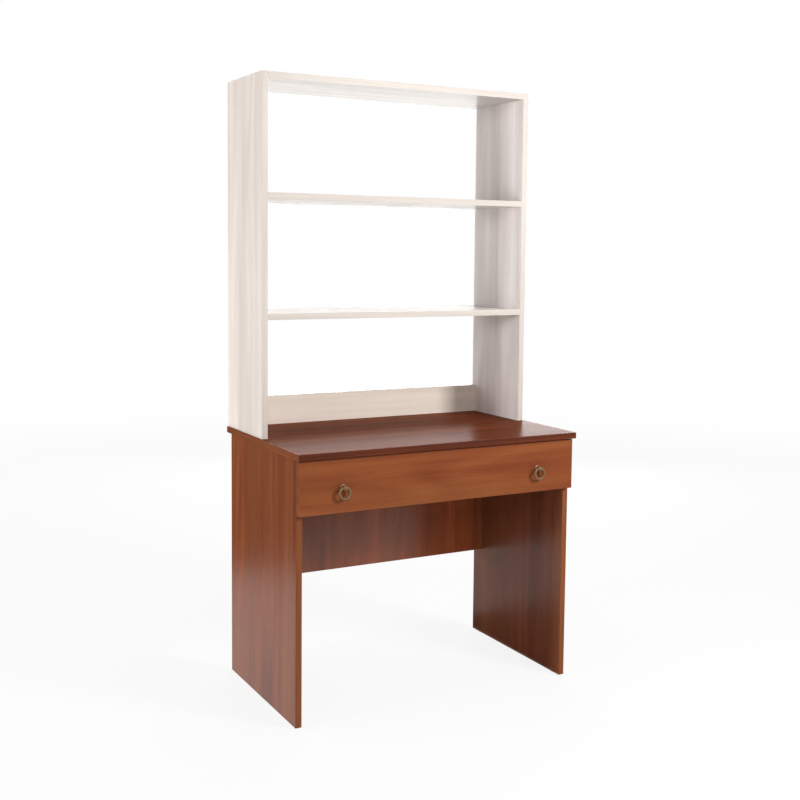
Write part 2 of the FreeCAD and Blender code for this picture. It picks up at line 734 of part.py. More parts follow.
def make_drawer_front():
    """The overlay front, banded on all four edges, with the ring pulls' screw holes."""
    y = (drawer_face_y, drawer_back_of_front_y)
    half = f"({desk_outer} - {BAND})"
    core_z = (f"({front_low_z} + {BAND})", f"({front_high_z} - {BAND})")
    front = board("drawer_front", "Y", centred(half), y, core_z)
    strips = []
    for name, side in SIDES.items():
        x = mirrored(side, half, desk_outer)
        upright = board(f"drawer_{name}_strip", "X", x, y, (front_low_z, front_high_z), is_node=False)
        strips.append((upright, ("X", side)))
    low_strip = board("drawer_low_strip", "Z", centred(half), y, (front_low_z, core_z[0]), is_node=False)
    high_strip = board("drawer_high_strip", "Z", centred(half), y, (core_z[1], front_high_z), is_node=False)
    strips += [(low_strip, ("Z", -1)), (high_strip, ("Z", 1))]
    group("drawer_front_bands", [strip for strip, _ in strips])
    pull_points = [(on_side(side, pull_x), drawer_back_of_front_y, pull_z) for side in SIDES.values()]
    cut(front, "Y", drawer_back_of_front_y, -1, BOARD,
        circles=[(*flat(point, "Y"), screw_hole_radius) for point in pull_points])
    copies("pull_screws", [(pull_screw, point, turn(-UNITS["Y"], UNITS["X"])) for point in pull_points])
    return front, strips


def make_drawer_box(front):
    """Two sides and a back, with a thin bottom held in grooves all round."""
    box_z = (box_low_z, box_high_z)
    thickness = "Sizes.drawer_board_thickness"
    groove_z = (f"({bottom_z} - Sizes.groove_clearance)",
                f"({bottom_z} + Sizes.drawer_bottom_thickness + Sizes.groove_clearance)")
    reach = "(Sizes.groove_depth - Sizes.groove_clearance)"
    groove_x = centred(f"({box_inner} + Sizes.groove_depth)")
    groove_y = (f"({drawer_back_of_front_y} - Sizes.cut_overrun)", f"({back_front_y} + Sizes.groove_depth)")

    back = board("drawer_back", "Y", centred(box_inner), (back_front_y, box_rear_y), box_z)
    cut(back, "Y", back_front_y, 1, "Sizes.groove_depth", box_corners(groove_x, groove_z))
    cut(front, "Y", drawer_back_of_front_y, -1, "Sizes.groove_depth", box_corners(groove_x, groove_z))
    board("drawer_bottom", "Z", centred(f"({box_inner} + {reach})"),
          (f"({drawer_back_of_front_y} - {reach})", f"({back_front_y} + {reach})"),
          (bottom_z, f"({bottom_z} + Sizes.drawer_bottom_thickness)"))

    sides, bolts, locks, corner_screws = {}, [], [], []
    for name, side in SIDES.items():
        x = mirrored(side, box_inner, box_outer)
        inner = on_side(side, box_inner)
        sides[name] = board(f"drawer_{name}_side", "X", x, (drawer_back_of_front_y, box_rear_y), box_z)
        cut(sides[name], "X", inner, side, "Sizes.groove_depth", box_corners(groove_y, groove_z))
        cam_points = [
            (on_side(side, box_middle), drawer_back_of_front_y, f"({box_low_z} + {rise})")
            for rise in ("Sizes.drawer_cam_low", "Sizes.drawer_cam_high")
        ]
        side_bolts, side_locks = join_with_cams(
            front, sides[name], "Y", 1, cam_points, ("X", inner, -side), small=True
        )
        bolts += side_bolts
        locks += side_locks
        screw_points = [
            (on_side(side, box_outer), back_middle_y, f"({box_low_z} + {rise})")
            for rise in ("Sizes.corner_screw_low", "Sizes.corner_screw_high")
        ]
        holes = [(*flat(point, "X"), screw_hole_radius) for point in screw_points]
        back_depth = f"Sizes.corner_screw_length - {thickness} + Sizes.hole_end_clearance"
        cut(sides[name], "X", on_side(side, box_outer), -side, thickness, circles=holes)
        cut(back, "X", inner, -side, back_depth, circles=holes)
        inward = turn(UNITS["X"] * -side, UNITS["Y"])
        corner_screws += [(corner_screw, point, inward) for point in screw_points]
    copies("drawer_cam_bolts", bolts)
    copies("drawer_cam_locks", locks)
    copies("drawer_corner_screws", corner_screws)
    return sides


def make_pulls():
    """Turned posts with an eye, and the rings that hang in them."""
    for name, side in SIDES.items():
        post = new_body(f"pull_post_{name}")
        revolve(post, [
            ("0", "0"),
            ("Sizes.rosette_radius", "0"),
            ("Sizes.rosette_radius", "Sizes.rosette_rim"),
            ("Sizes.pull_neck_radius", "Sizes.rosette_height"),
            ("Sizes.pull_neck_radius", "Sizes.pull_eye_height"),
            ("0", "Sizes.pull_eye_height"),
        ])
        ball = post.newObject("PartDesign::AdditiveSphere", f"{post.Label}_ball")
        ball.setExpression("Radius", "Sizes.pull_ball_radius")
        ball.setExpression("Placement.Base.z", "Sizes.pull_eye_height")
        cut(post, "X", "-Sizes.pull_ball_radius", 1, "2 * Sizes.pull_ball_radius",
            circles=[("0", "Sizes.pull_eye_height", eye_radius)])
        cut(post, "Z", "0", 1, "Sizes.pull_screw_engagement + Sizes.hole_end_clearance",
            circles=[("0", "0", screw_hole_radius)])
        post.Placement = Placement(Vector(), turn(-UNITS["Y"], UNITS["X"]))
        for axis, place in zip("xyz", (on_side(side, pull_x), drawer_face_y, pull_z)):
            post.setExpression(f"Placement.Base.{axis}", place)

        ring = doc.addObject("Part::Torus", f"pull_ring_{name}")
        ring.Label = f"pull_ring_{name}"
        ring.setExpression("Radius1", "Sizes.ring_radius")
        ring.setExpression("Radius2", "Sizes.ring_wire_radius")
        ring.Placement = Placement(Vector(), turn(-UNITS["Y"], UNITS["X"]))
        for axis, place in zip("xyz", (on_side(side, pull_x), eye_y, ring_z)):
            ring.setExpression(f"Placement.Base.{axis}", place)
        nodes.append(ring)


# Roller slides


def make_cabinet_runner(name, side, side_panel):
    """A folded channel on the desk side, open at its front for a roller, with a stop for the drawer's."""
    wall = "Sizes.runner_thickness"
    length = (cabinet_runner_y, f"({cabinet_runner_y} + {runner_length})")

    def across(distance):
        return on_side(side, f"({desk_inner} - {distance})")

    runner = new_body(f"{name}_cabinet_runner")
    pad(runner, "Y", length, [
        (across("0"), f"({channel_z} - {wall})"),
        (across("Sizes.channel_floor_width"), f"({channel_z} - {wall})"),
        (across("Sizes.channel_floor_width"), channel_z),
        (across(wall), channel_z),
        (across(wall), lip_z),
        (across("Sizes.channel_lip_width"), lip_z),
        (across("Sizes.channel_lip_width"), f"({lip_z} + {wall})"),
        (across("0"), f"({lip_z} + {wall})"),
    ])
    relief_y = (
        f"({cabinet_runner_y} - Sizes.cut_overrun)",
        f"({cabinet_runner_y} + 2 * Sizes.roller_end_inset)",
    )
    relief_x = (across(wall), across("(Sizes.channel_lip_width + Sizes.cut_overrun)"))
    cut(runner, "Z", f"({lip_z} - Sizes.rolling_gap)", 1, f"{wall} + 2 * Sizes.rolling_gap",
        box_corners(relief_x, relief_y))
    stop_x = (across(wall), across("Sizes.channel_floor_width"))
    pad(runner, "Z", (channel_z, f"({channel_z} + Sizes.stop_height)"),
        box_corners(stop_x, (stop_y, f"({stop_y} + Sizes.stop_thickness)")))
    screw_ys = (
        f"({length[0]} + Sizes.runner_screw_inset)",
        f"({length[0]} + {runner_length} / 2)",
        f"({length[1]} - Sizes.runner_screw_inset)",
    )
    screw_holes = [(y, rear_axle_z, screw_hole_radius) for y in screw_ys]
    axle_hole = (front_axle_y, front_axle_z, axle_hole_radius)
    cut(runner, "X", across("0"), -side, wall, circles=screw_holes + [axle_hole])
    panel_depth = f"Sizes.runner_screw_length - {wall} + Sizes.hole_end_clearance"
    cut(side_panel, "X", across("0"), side, panel_depth, circles=screw_holes)
    outward = turn(UNITS["X"] * side, UNITS["Y"])
    inward = turn(UNITS["X"] * -side, UNITS["Y"])
    screws = [(runner_screw, (across(wall), y, rear_axle_z), outward) for y in screw_ys]
    rivet = (axle, (across("0"), front_axle_y, front_axle_z), inward)
    bends = [(across("0"), f"({channel_z} - {wall})"), (across("0"), f"({lip_z} + {wall})")]
    return screws, rivet, (runner, bends)


def make_drawer_runner(name, side, drawer_side):
    """A folded rail: its lower flange carries the drawer side, its upper one rides on the front roller."""
    wall = "Sizes.runner_thickness"
    length = (drawer_runner_y, f"({drawer_runner_y} + {runner_length})")

    def outward(distance):
        return on_side(side, f"({box_outer} + {distance})")

    runner = new_body(f"{name}_drawer_runner")
    flange = outward("(-Sizes.drawer_board_thickness)")
    pad(runner, "Y", length, [
        (outward(wall), f"({box_low_z} - {wall})"),
        (flange, f"({box_low_z} - {wall})"),
        (flange, box_low_z),
        (outward("0"), box_low_z),
        (outward("0"), f"({track_z} + {wall})"),
        (outward("Sizes.track_width"), f"({track_z} + {wall})"),
        (outward("Sizes.track_width"), track_z),
        (outward(wall), track_z),
    ])
    cut(runner, "X", outward(wall), -side, wall, circles=[(rear_axle_y, rear_axle_z, axle_hole_radius)])
    screw_ys = (f"({length[0]} + Sizes.runner_screw_inset)", f"({length[1]} - Sizes.runner_screw_inset)")
    middle = on_side(side, box_middle)
    screw_low = f"({box_low_z} - {wall})"
    screw_holes = [(middle, y, screw_hole_radius) for y in screw_ys]
    cut(runner, "Z", screw_low, 1, wall, circles=screw_holes)
    cut(drawer_side, "Z", box_low_z, 1, f"Sizes.runner_screw_length - {wall} + Sizes.hole_end_clearance",
        circles=screw_holes)
    screws = [(runner_screw, (middle, y, screw_low), Rotation()) for y in screw_ys]
    rivet = (axle, (outward("0"), rear_axle_y, rear_axle_z), turn(UNITS["X"] * side, UNITS["Y"]))
    bends = [(outward(wall), screw_low), (outward("0"), f"({track_z} + {wall})")]
    return screws, rivet, (runner, bends)


def make_roller(label, x, y, z):
    """A plain nylon roller with a running bore."""
    roller = new_body(label)
    pad(roller, "X", x, circles=[(y, z, "Sizes.roller_radius"), (y, z, axle_hole_radius)])
    return roller


def make_slides(side_panels, drawer_sides):
    """Both slide sets; gives the rollers and the runners with their bends, which are rounded later."""
    cabinet_screws, drawer_screws, cabinet_axles, drawer_axles = [], [], [], []
    rollers, runners = [], []
    near = "(Sizes.runner_thickness + Sizes.roller_side_play)"
    far = f"({near} + Sizes.roller_width)"
    for name, side in SIDES.items():
        screws, rivet, runner = make_cabinet_runner(name, side, side_panels[name])
        cabinet_screws += screws
        cabinet_axles.append(rivet)
        runners.append(runner)
        screws, rivet, runner = make_drawer_runner(name, side, drawer_sides[name])
        drawer_screws += screws
        drawer_axles.append(rivet)
        runners.append(runner)
        front_x = mirrored(side, f"({desk_inner} - {far})", f"({desk_inner} - {near})")
        rear_x = mirrored(side, f"({box_outer} + {near})", f"({box_outer} + {far})")
        rollers.append(make_roller(f"front_roller_{name}", front_x, front_axle_y, front_axle_z))
        rollers.append(make_roller(f"rear_roller_{name}", rear_x, rear_axle_y, rear_axle_z))
    copies("cabinet_runner_screws", cabinet_screws)
    copies("drawer_runner_screws", drawer_screws)
    copies("cabinet_roller_axles", cabinet_axles)
    copies("drawer_roller_axles", drawer_axles)
    return rollers, runners


def round_bands(front_strips):
    """Rounds the outer edges of the bands that face the front, and of the drawer front's strips."""
    front = ("Y", -1)
    radius = f"{BAND} * Sizes.band_round_share"
    for band in nodes:
        if band.Label.endswith("front_band"):
            upright = band.Shape.BoundBox.ZLength > band.Shape.BoundBox.XLength
            axis = "X" if upright else "Z"
            round_edges(band, radius, [box_faces(band, front, (axis, side)) for side in SIDES.values()])
    for strip, outer in front_strips:
        round_edges(strip, radius, [box_faces(strip, front, outer)])


def round_bends(runner, bends):
    """Rounds the outside of a folded runner's bends, each an x and a z."""
    picks = [{"X": value(x), "Z": value(z)} for x, z in bends]
    round_edges(runner, "Sizes.runner_thickness * Sizes.runner_bend_share", picks)


def round_roller(roller):
    rims = [box_faces(roller, ("X", side)) for side in SIDES.values()]
    round_edges(roller, "Sizes.roller_edge_radius", rims)


def check_document():
    """Stops at a failed object, an empty or open shape, or a cut that took nothing."""
    for each in doc.Objects:
        failed = {"Invalid", "Error"} & set(each.State)
        if failed:
            raise RuntimeError(f"{each.Label} failed: {each.State}")
        if each.TypeId == "PartDesign::Pocket" and each.Shape.Volume >= each.BaseFeature.Shape.Volume:
            raise RuntimeError(f"{each.Label} cuts nothing")
    for node in nodes:
        if node.Shape.isNull() or not node.Shape.isValid() or not node.Shape.Solids:
            raise RuntimeError(f"{node.Label} has no valid solid")


desktop_board, desk_sides = make_desk()
make_hutch(desktop_board)
drawer_front, front_strips = make_drawer_front()
box_sides = make_drawer_box(drawer_front)
make_pulls()
slide_rollers, slide_runners = make_slides(desk_sides, box_sides)
doc.recompute()
round_bands(front_strips)
for slide_roller in slide_rollers:
    round_roller(slide_roller)
for slide_runner, runner_bends in slide_runners:
    round_bends(slide_runner, runner_bends)
doc.recompute()
check_document()

os.makedirs("parts", exist_ok=True)
for node in nodes:
    node.Shape.exportStep(f"parts/{node.Label}.step")
print(f"{len(nodes)} nodes, {sum(len(node.Shape.Solids) for node in nodes)} solids")
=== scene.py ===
import json
import math

import bpy
from mathutils import Matrix, Vector

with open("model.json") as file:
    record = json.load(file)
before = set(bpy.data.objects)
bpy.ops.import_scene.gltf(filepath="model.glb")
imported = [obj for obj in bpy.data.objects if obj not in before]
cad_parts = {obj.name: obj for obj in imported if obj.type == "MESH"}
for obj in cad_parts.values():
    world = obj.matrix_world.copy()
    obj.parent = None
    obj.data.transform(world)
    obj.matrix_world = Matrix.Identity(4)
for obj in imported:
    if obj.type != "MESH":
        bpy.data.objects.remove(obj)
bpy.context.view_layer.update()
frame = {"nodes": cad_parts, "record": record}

# Camera, fitted to the photograph's corners: metres, radians, pixels, and millimetres for the sensor

PICTURE = 800
FOCAL_PIXELS = 1141.41
CENTRE_ROW = 348
CAMERA_PLACE = (-1.625113, -2.999100, 1.285690)
CAMERA_PITCH = -0.07785
CAMERA_ROLL = 0.03107
CAMERA_TURN = -0.4965
SENSOR_WIDTH = 36
QUARTER_TURN = math.radians(90)


def add_object(name, data):
    """A new object in the scene."""
    item = bpy.data.objects.new(name, data)
    bpy.context.scene.collection.objects.link(item)
    return item


def turned(angle, axis):
    return Matrix.Rotation(angle, 3, axis)


def make_camera():
    data = bpy.data.cameras.new("camera")
    data.sensor_width = SENSOR_WIDTH
    data.lens = SENSOR_WIDTH * FOCAL_PIXELS / PICTURE
    data.shift_y = (CENTRE_ROW - PICTURE / 2) / PICTURE
    camera = add_object("camera", data)
    fitted = turned(CAMERA_ROLL, "Y") @ turned(CAMERA_PITCH, "X") @ turned(CAMERA_TURN, "Z")
    # The fit has the view along +Y; a camera looks along its own -Z
    axes = fitted @ turned(QUARTER_TURN, "X")
    camera.matrix_world = Matrix.Translation(CAMERA_PLACE) @ axes.to_4x4()
    bpy.context.scene.camera = camera


# Colours

WHITE = (1.0, 1.0, 1.0, 1.0)
CHANNEL_TOP = 255
SRGB_KNEE = 0.04045
SRGB_SLOPE = 12.92
SRGB_OFFSET = 0.055
SRGB_POWER = 2.4


def linear_channel(channel):
    share = channel / CHANNEL_TOP
    if share <= SRGB_KNEE:
        return share / SRGB_SLOPE
    return ((share + SRGB_OFFSET) / (1.0 + SRGB_OFFSET)) ** SRGB_POWER


def linear(colour):
    """An sRGB colour of 0 to 255 as linear values with alpha."""
    return (*map(linear_channel, colour), 1.0)


def even_stops(low, high, *colours):
    """Colours at evenly spaced places from low to high."""
    gap = (high - low) / (len(colours) - 1)
    return [(low + gap * step, colour) for step, colour in enumerate(colours)]


# Shader nodes

NO_SHIFT = (0.0, 0.0, 0.0)
# Most values of a noise lie in this range
NOISE_RANGE = (0.3, 0.7)
RELIEF_DEPTH = 0.0002
# The sockets of a colour mix, by number because their names repeat
MIX_FACTOR = 0
MIX_FIRST = 6
MIX_SECOND = 7
MIX_RESULT = 2


class Nodes:
    """A node tree and short calls that add nodes to it."""

    def __init__(self, tree):
        self.tree = tree

    def add(self, kind, inputs=None, **settings):
        """A node with its settings; each input takes a value or another node's socket."""
        node = self.tree.nodes.new(kind)
        for key, setting in settings.items():
            setattr(node, key, setting)
        for key, entry in (inputs or {}).items():
            self.feed(node.inputs[key], entry)
        return node

    def feed(self, socket, entry):
        if isinstance(entry, bpy.types.NodeSocket):
            self.tree.links.new(entry, socket)
        else:
            socket.default_value = entry

    def math(self, operation, first, second=0.0):
        return self.add("ShaderNodeMath", {0: first, 1: second}, operation=operation).outputs[0]

    def spread(self, entry, low, high, to_low=0.0, to_high=1.0):
        """Takes a range of values to another, clamped."""
        inputs = dict(enumerate((entry, low, high, to_low, to_high)))
        return self.add("ShaderNodeMapRange", inputs).outputs[0]

    def total(self, *parts):
        """Adds up entries, each times its share."""
        products = [self.math("MULTIPLY", entry, share) for entry, share in parts]
        result = products[0]
        for product in products[1:]:
            result = self.math("ADD", result, product)
        return result

    def noise(self, scales, detail, rough, distortion=0.0, shift=NO_SHIFT):
        """Noise on the object's own metres, with a frequency for each axis."""
        coords = self.add("ShaderNodeTexCoord")
        place = {"Vector": coords.outputs["Object"], "Scale": scales, "Location": shift}
        mapped = self.add("ShaderNodeMapping", place)
        inputs = {
            "Vector": mapped.outputs[0], "Scale": 1.0, "Detail": detail,
            "Roughness": rough, "Distortion": distortion,
        }
        return self.add("ShaderNodeTexNoise", inputs).outputs[0]

    def clouds(self, rate, detail, rough):
        """Noise with the same frequency along every axis."""
        return self.noise((rate, rate, rate), detail, rough)

    def grain(self, along, across_rate, along_rate, **settings):
        """Noise that is stretched along one axis."""
        scales = tuple(along_rate if axis == along else across_rate for axis in "XYZ")
        return self.noise(scales, **settings)

    def ramp(self, entry, stops):
        """Colours along a factor: each stop is a place and an sRGB colour."""
        node = self.add("ShaderNodeValToRGB", {0: entry})
        elements = node.color_ramp.elements
        while len(elements) < len(stops):
            elements.new(1.0)
        for element, (place, colour) in zip(elements, stops):
            element.position = place
            element.color = linear(colour)
        return node.outputs[0]

    def blend(self, factor, first, second):
        """Goes from the first colour to the second as the factor goes from 0 to 1."""
        node = self.add("ShaderNodeMix", data_type="RGBA")
        self.feed(node.inputs[MIX_FACTOR], factor)
        self.feed(node.inputs[MIX_FIRST], first)
        self.feed(node.inputs[MIX_SECOND], second)
        return node.outputs[MIX_RESULT]

    def seen_ray(self):
        """1 for a ray that shows the background: from the camera, or by a reflection or glass."""
        path = self.add("ShaderNodeLightPath")
        seen = path.outputs["Is Camera Ray"]
        for kind in ("Is Glossy Ray", "Is Transmission Ray"):
            seen = self.math("MAXIMUM", seen, path.outputs[kind])
        return seen


class Shader(Nodes):
    """A new material, with calls that set its surface."""

    def __init__(self, name):
        self.material = bpy.data.materials.new(name)
        self.material.use_nodes = True
        super().__init__(self.material.node_tree)
        self.surface = self.tree.nodes["Principled BSDF"]

    def set(self, **inputs):
        for key, entry in inputs.items():
            self.feed(self.surface.inputs[key.replace("_", " ")], entry)

    def dull(self, noise, low, high):
        """Roughness that follows a noise from low to high."""
        self.set(Roughness=self.spread(noise, *NOISE_RANGE, low, high))

    def bump(self, height, strength, depth=RELIEF_DEPTH):
        inputs = {"Height": height, "Strength": strength, "Distance": depth}
        self.set(Normal=self.add("ShaderNodeBump", inputs).outputs[0])


# Laminates: the layers of their grain, in cycles per metre across and along it

STRIPS = {"along_rate": 0.5, "detail": 2.0, "rough": 0.5, "distortion": 0.3}
FIGURE = {"along_rate": 0.7, "detail": 1.0, "rough": 0.4, "distortion": 0.2}
STREAKS = {"across_rate": 55.0, "along_rate": 1.3, "detail": 3.0, "rough": 0.6}
HAIRLINES = {"across_rate": 420.0, "along_rate": 6.0, "detail": 3.0, "rough": 0.6}
PORES = {"across_rate": 1300.0, "along_rate": 38.0, "detail": 1.0, "rough": 0.5}
PORE_RANGE = (0.6, 0.72)
TINT = {"along_rate": 0.9, "detail": 2.0, "rough": 0.5, "distortion": 0.4}
TINT_RANGE = (0.42, 0.62)
TINT_SHIFT = (5.3, 2.1, 7.7)
LAMINATE_PLACES = (0.0, 0.35, 0.7, 1.0)


def make_laminate(name, along, stops, look, shift=NO_SHIFT):
    """A printed wood grain that runs along one axis: broad strips, flames, streaks, hairlines and pores."""
    shader = Shader(name)
    strips = shader.grain(along, look["strip_rate"], shift=shift, **STRIPS)
    figure = shader.grain(along, look["figure_rate"], shift=shift, **FIGURE)
    waves = shader.math("SINE", shader.math("MULTIPLY", figure, look["figure_lines"]))
    flames = shader.spread(waves, -1.0, 1.0)
    streaks = shader.grain(along, shift=shift, **STREAKS)
    hairlines = shader.grain(along, shift=shift, **HAIRLINES)
    pores = shader.spread(shader.grain(along, shift=shift, **PORES), *PORE_RANGE)
    tone = shader.total(
        (strips, look["strip_share"]),
        (flames, look["flame_share"]),
        (streaks, look["streak_share"]),
        (hairlines, look["hairline_share"]),
    )
    colour = shader.ramp(shader.spread(tone, look["tone_low"], look["tone_high"]), stops)
    tint = shader.grain(along, look["tint_rate"], shift=TINT_SHIFT, **TINT)
    tint = shader.spread(tint, *TINT_RANGE, to_high=look["tint_share"])
    colour = shader.blend(tint, colour, linear(look["tint_tone"]))
    pitting = shader.math("MULTIPLY", pores, look["pore_share"])
    colour = shader.blend(pitting, colour, linear(look["pore_tone"]))
    shader.set(Base_Color=colour, Specular_IOR_Level=look["specular"])
    shader.dull(streaks, look["rough_low"], look["rough_high"])
    shader.bump(shader.math("SUBTRACT", hairlines, pores), look["relief"])
    return shader.material


def laminate_stops(*colours):
    """Four tones of a laminate, from its darkest grain to its lightest."""
    return list(zip(LAMINATE_PLACES, colours))


WALNUT_STOPS = laminate_stops((90, 42, 25), (118, 60, 35), (134, 71, 41), (152, 87, 52))
# Painted shade: the desk's right side panel wears darker walnut tones that stand in for the shade inside
# the kneehole
WALNUT_RIGHT_PAINTED_SHADE_STOPS = laminate_stops((78, 39, 26), (101, 54, 36), (116, 64, 42), (132, 78, 52))
# Painted light: lighter, redder walnut tones on the modesty panel stand in for light falling on it
MODESTY_PAINTED_LIGHT_STOPS = laminate_stops((104, 48, 28), (136, 68, 38), (154, 80, 45), (172, 98, 58))
DRAWER_STOPS = laminate_stops((96, 44, 22), (120, 60, 32), (133, 72, 39), (149, 87, 51))
DESKTOP_STOPS = laminate_stops((80, 33, 13), (100, 45, 19), (113, 54, 24), (128, 67, 33))
ASH_STOPS = laminate_stops((198, 187, 183), (216, 205, 198), (229, 218, 210), (238, 228, 219))
# Painted light: the hutch's right side wears lighter ash tones than the left, standing in for more light on
# its inner face
ASH_RIGHT_PAINTED_LIGHT_STOPS = laminate_stops((208, 200, 200), (226, 218, 216), (239, 232, 228), (248, 241, 237))
# Painted light: the rear rail wears lighter, warmer ash tones, standing in for more light on it
ASH_RAIL_PAINTED_LIGHT_STOPS = laminate_stops((219, 208, 196), (233, 222, 209), (242, 232, 219), (249, 241, 230))
ASH_SHELF_STOPS = laminate_stops((200, 195, 193), (214, 209, 206), (226, 221, 217), (236, 231, 226))
LINING_STOPS = even_stops(0.0, 1.0, (176, 148, 116), (196, 168, 134), (212, 186, 152))

WALNUT_LOOK = {
    "strip_rate": 7.0, "figure_rate": 6.0, "figure_lines": 42.0,
    "strip_share": 0.46, "flame_share": 0.1, "streak_share": 0.28, "hairline_share": 0.19,
    "tone_low": 0.33, "tone_high": 0.7, "pore_share": 0.3, "pore_tone": (70, 32, 20),
    "tint_rate": 14.0, "tint_share": 0.45, "tint_tone": (124, 73, 40),
    "rough_low": 0.26, "rough_high": 0.34, "specular": 0.25, "relief": 0.12,
}
MODESTY_LOOK = {**WALNUT_LOOK, "rough_low": 0.16, "rough_high": 0.22, "specular": 0.5}
DRAWER_LOOK = {**WALNUT_LOOK, "specular": 0.12}
# Painted shade: the drawer grain is shifted so that a darker broad strip falls at the drawer front's left
# end
DRAWER_PAINTED_SHADE_SHIFT = (3.7, 0.0, 0.0)
DESKTOP_LOOK = {
    **WALNUT_LOOK, "tint_tone": (104, 50, 22), "tint_share": 0.35,
    "specular": 0.0035, "relief": 0.06,
}
ASH_LOOK = {
    "strip_rate": 9.0, "figure_rate": 8.0, "figure_lines": 36.0,
    "strip_share": 0.52, "flame_share": 0.1, "streak_share": 0.27, "hairline_share": 0.11,
    "tone_low": 0.33, "tone_high": 0.72, "pore_share": 0.3, "pore_tone": (178, 164, 156),
    "tint_rate": 12.0, "tint_share": 0.42, "tint_tone": (208, 199, 192),
    "rough_low": 0.4, "rough_high": 0.48, "specular": 0.05, "relief": 0.1,
}
ASH_LEVEL_LOOK = {**ASH_LOOK, "rough_low": 0.34, "rough_high": 0.44, "specular": 0.005, "relief": 0.03}
ASH_TOP_LOOK = {**ASH_LEVEL_LOOK, "specular": 0.016}
LINING_LOOK = {**ASH_LOOK, "flame_share": 0.05, "tint_share": 0.0, "pore_tone": (150, 120, 90)}

# Each laminate by name: the axis that its grain follows, its tones, its look and any shift of its pattern
LAMINATES = {
    "walnut_upright": ("Z", WALNUT_STOPS, WALNUT_LOOK),
    "walnut_right_painted_shade": ("Z", WALNUT_RIGHT_PAINTED_SHADE_STOPS, WALNUT_LOOK),
    "walnut_modesty_painted_light": ("Z", MODESTY_PAINTED_LIGHT_STOPS, MODESTY_LOOK),
    "walnut_drawer": ("X", DRAWER_STOPS, DRAWER_LOOK, DRAWER_PAINTED_SHADE_SHIFT),
    "walnut_desktop": ("X", DESKTOP_STOPS, DESKTOP_LOOK),
    "ash_upright": ("Z", ASH_STOPS, ASH_LOOK),
    "ash_right_painted_light": ("Z", ASH_RIGHT_PAINTED_LIGHT_STOPS, ASH_LOOK),
    "ash_level": ("X", ASH_SHELF_STOPS, ASH_LEVEL_LOOK),
    "ash_top": ("X", ASH_SHELF_STOPS, ASH_TOP_LOOK),
    "ash_rail_painted_light": ("X", ASH_RAIL_PAINTED_LIGHT_STOPS, ASH_LEVEL_LOOK),
    "drawer_lining": ("Y", LINING_STOPS, LINING_LOOK),
}


# Edge bands and dowels

BAND_LINES = {"across_rate": 260.0, "along_rate": 3.0, "detail": 3.0, "rough": 0.6}
BAND_CLOUDS = {"across_rate": 24.0, "along_rate": 2.0, "detail": 2.0, "rough": 0.5}
BAND_LINE_SHARE = 0.5
BAND_CLOUD_SHARE = 0.5
BAND_TONE_RANGE = (0.32, 0.68)
BAND_ROUGH = 0.42
BAND_ROUGH_SWING = 0.06
BAND_SPECULAR = 0.15
BAND_RELIEF = 0.1
MAROON_ROUGH = 0.36
BEECH_ROUGH = 0.6


def make_band(name, along, stops, rough=BAND_ROUGH):
    """A plain finish with fine lines along one axis."""
    shader = Shader(name)
    lines = shader.grain(along, **BAND_LINES)
    clouds = shader.grain(along, **BAND_CLOUDS)
    tone = shader.total((lines, BAND_LINE_SHARE), (clouds, BAND_CLOUD_SHARE))
    colour = shader.ramp(shader.spread(tone, *BAND_TONE_RANGE), stops)
    shader.set(Base_Color=colour, Specular_IOR_Level=BAND_SPECULAR)
    shader.dull(lines, rough - BAND_ROUGH_SWING, rough + BAND_ROUGH_SWING)
    shader.bump(lines, BAND_RELIEF)
    return shader.material


WALNUT_BAND_STOPS = even_stops(0.0, 1.0, (100, 52, 28), (120, 67, 37), (138, 80, 46))
MAROON_BAND_STOPS = even_stops(0.0, 1.0, (66, 27, 13), (84, 37, 19), (102, 48, 26))
ASH_BAND_STOPS = even_stops(0.0, 1.0, (193, 184, 177), (204, 195, 187), (213, 205, 197))
BEECH_STOPS = even_stops(0.0, 1.0, (190, 150, 104), (222, 188, 142))

# Each band by name: the axis that its lines follow, its tones and any roughness of its own
BANDS = {
    "walnut_band_upright": ("Z", WALNUT_BAND_STOPS),
    "walnut_band_level": ("X", WALNUT_BAND_STOPS),
    "walnut_band_deep": ("Y", WALNUT_BAND_STOPS),
    "maroon_band": ("X", MAROON_BAND_STOPS, MAROON_ROUGH),
    "ash_band_upright": ("Z", ASH_BAND_STOPS),
    "ash_band_level": ("X", ASH_BAND_STOPS),
    "beech": ("X", BEECH_STOPS, BEECH_ROUGH),
}


# Other finishes

BRASS_TONE_RANGE = (0.25, 0.75)
FIBRE_SHARE = 0.6
BOARD_CLOUD_SHARE = 0.4
FIBRE_DEPTH = 0.0003


def make_zinc():
    """Zinc plate in patches of lighter and darker grey."""
    shader = Shader("zinc_plate")
    clouds = shader.clouds(rate=180.0, detail=3.0, rough=0.6)
    stops = even_stops(*NOISE_RANGE, (150, 150, 154), (196, 197, 200))
    shader.set(Base_Color=shader.ramp(clouds, stops), Metallic=1.0)
    shader.dull(clouds, low=0.28, high=0.46)
    return shader.material


def make_brass():
    """Dull antique brass: brown, darker in cloudy patches, worn lighter in others."""
    shader = Shader("antique_brass_patina")
    clouds = shader.clouds(rate=150.0, detail=4.0, rough=0.6)
    grit = shader.clouds(rate=900.0, detail=2.0, rough=0.5)
    stops = even_stops(*BRASS_TONE_RANGE, (82, 60, 40), (114, 86, 58), (138, 107, 73))
    shader.set(Base_Color=shader.ramp(clouds, stops), Metallic=0.6)
    shader.dull(grit, low=0.56, high=0.68)
    shader.bump(grit, strength=0.12)
    return shader.material


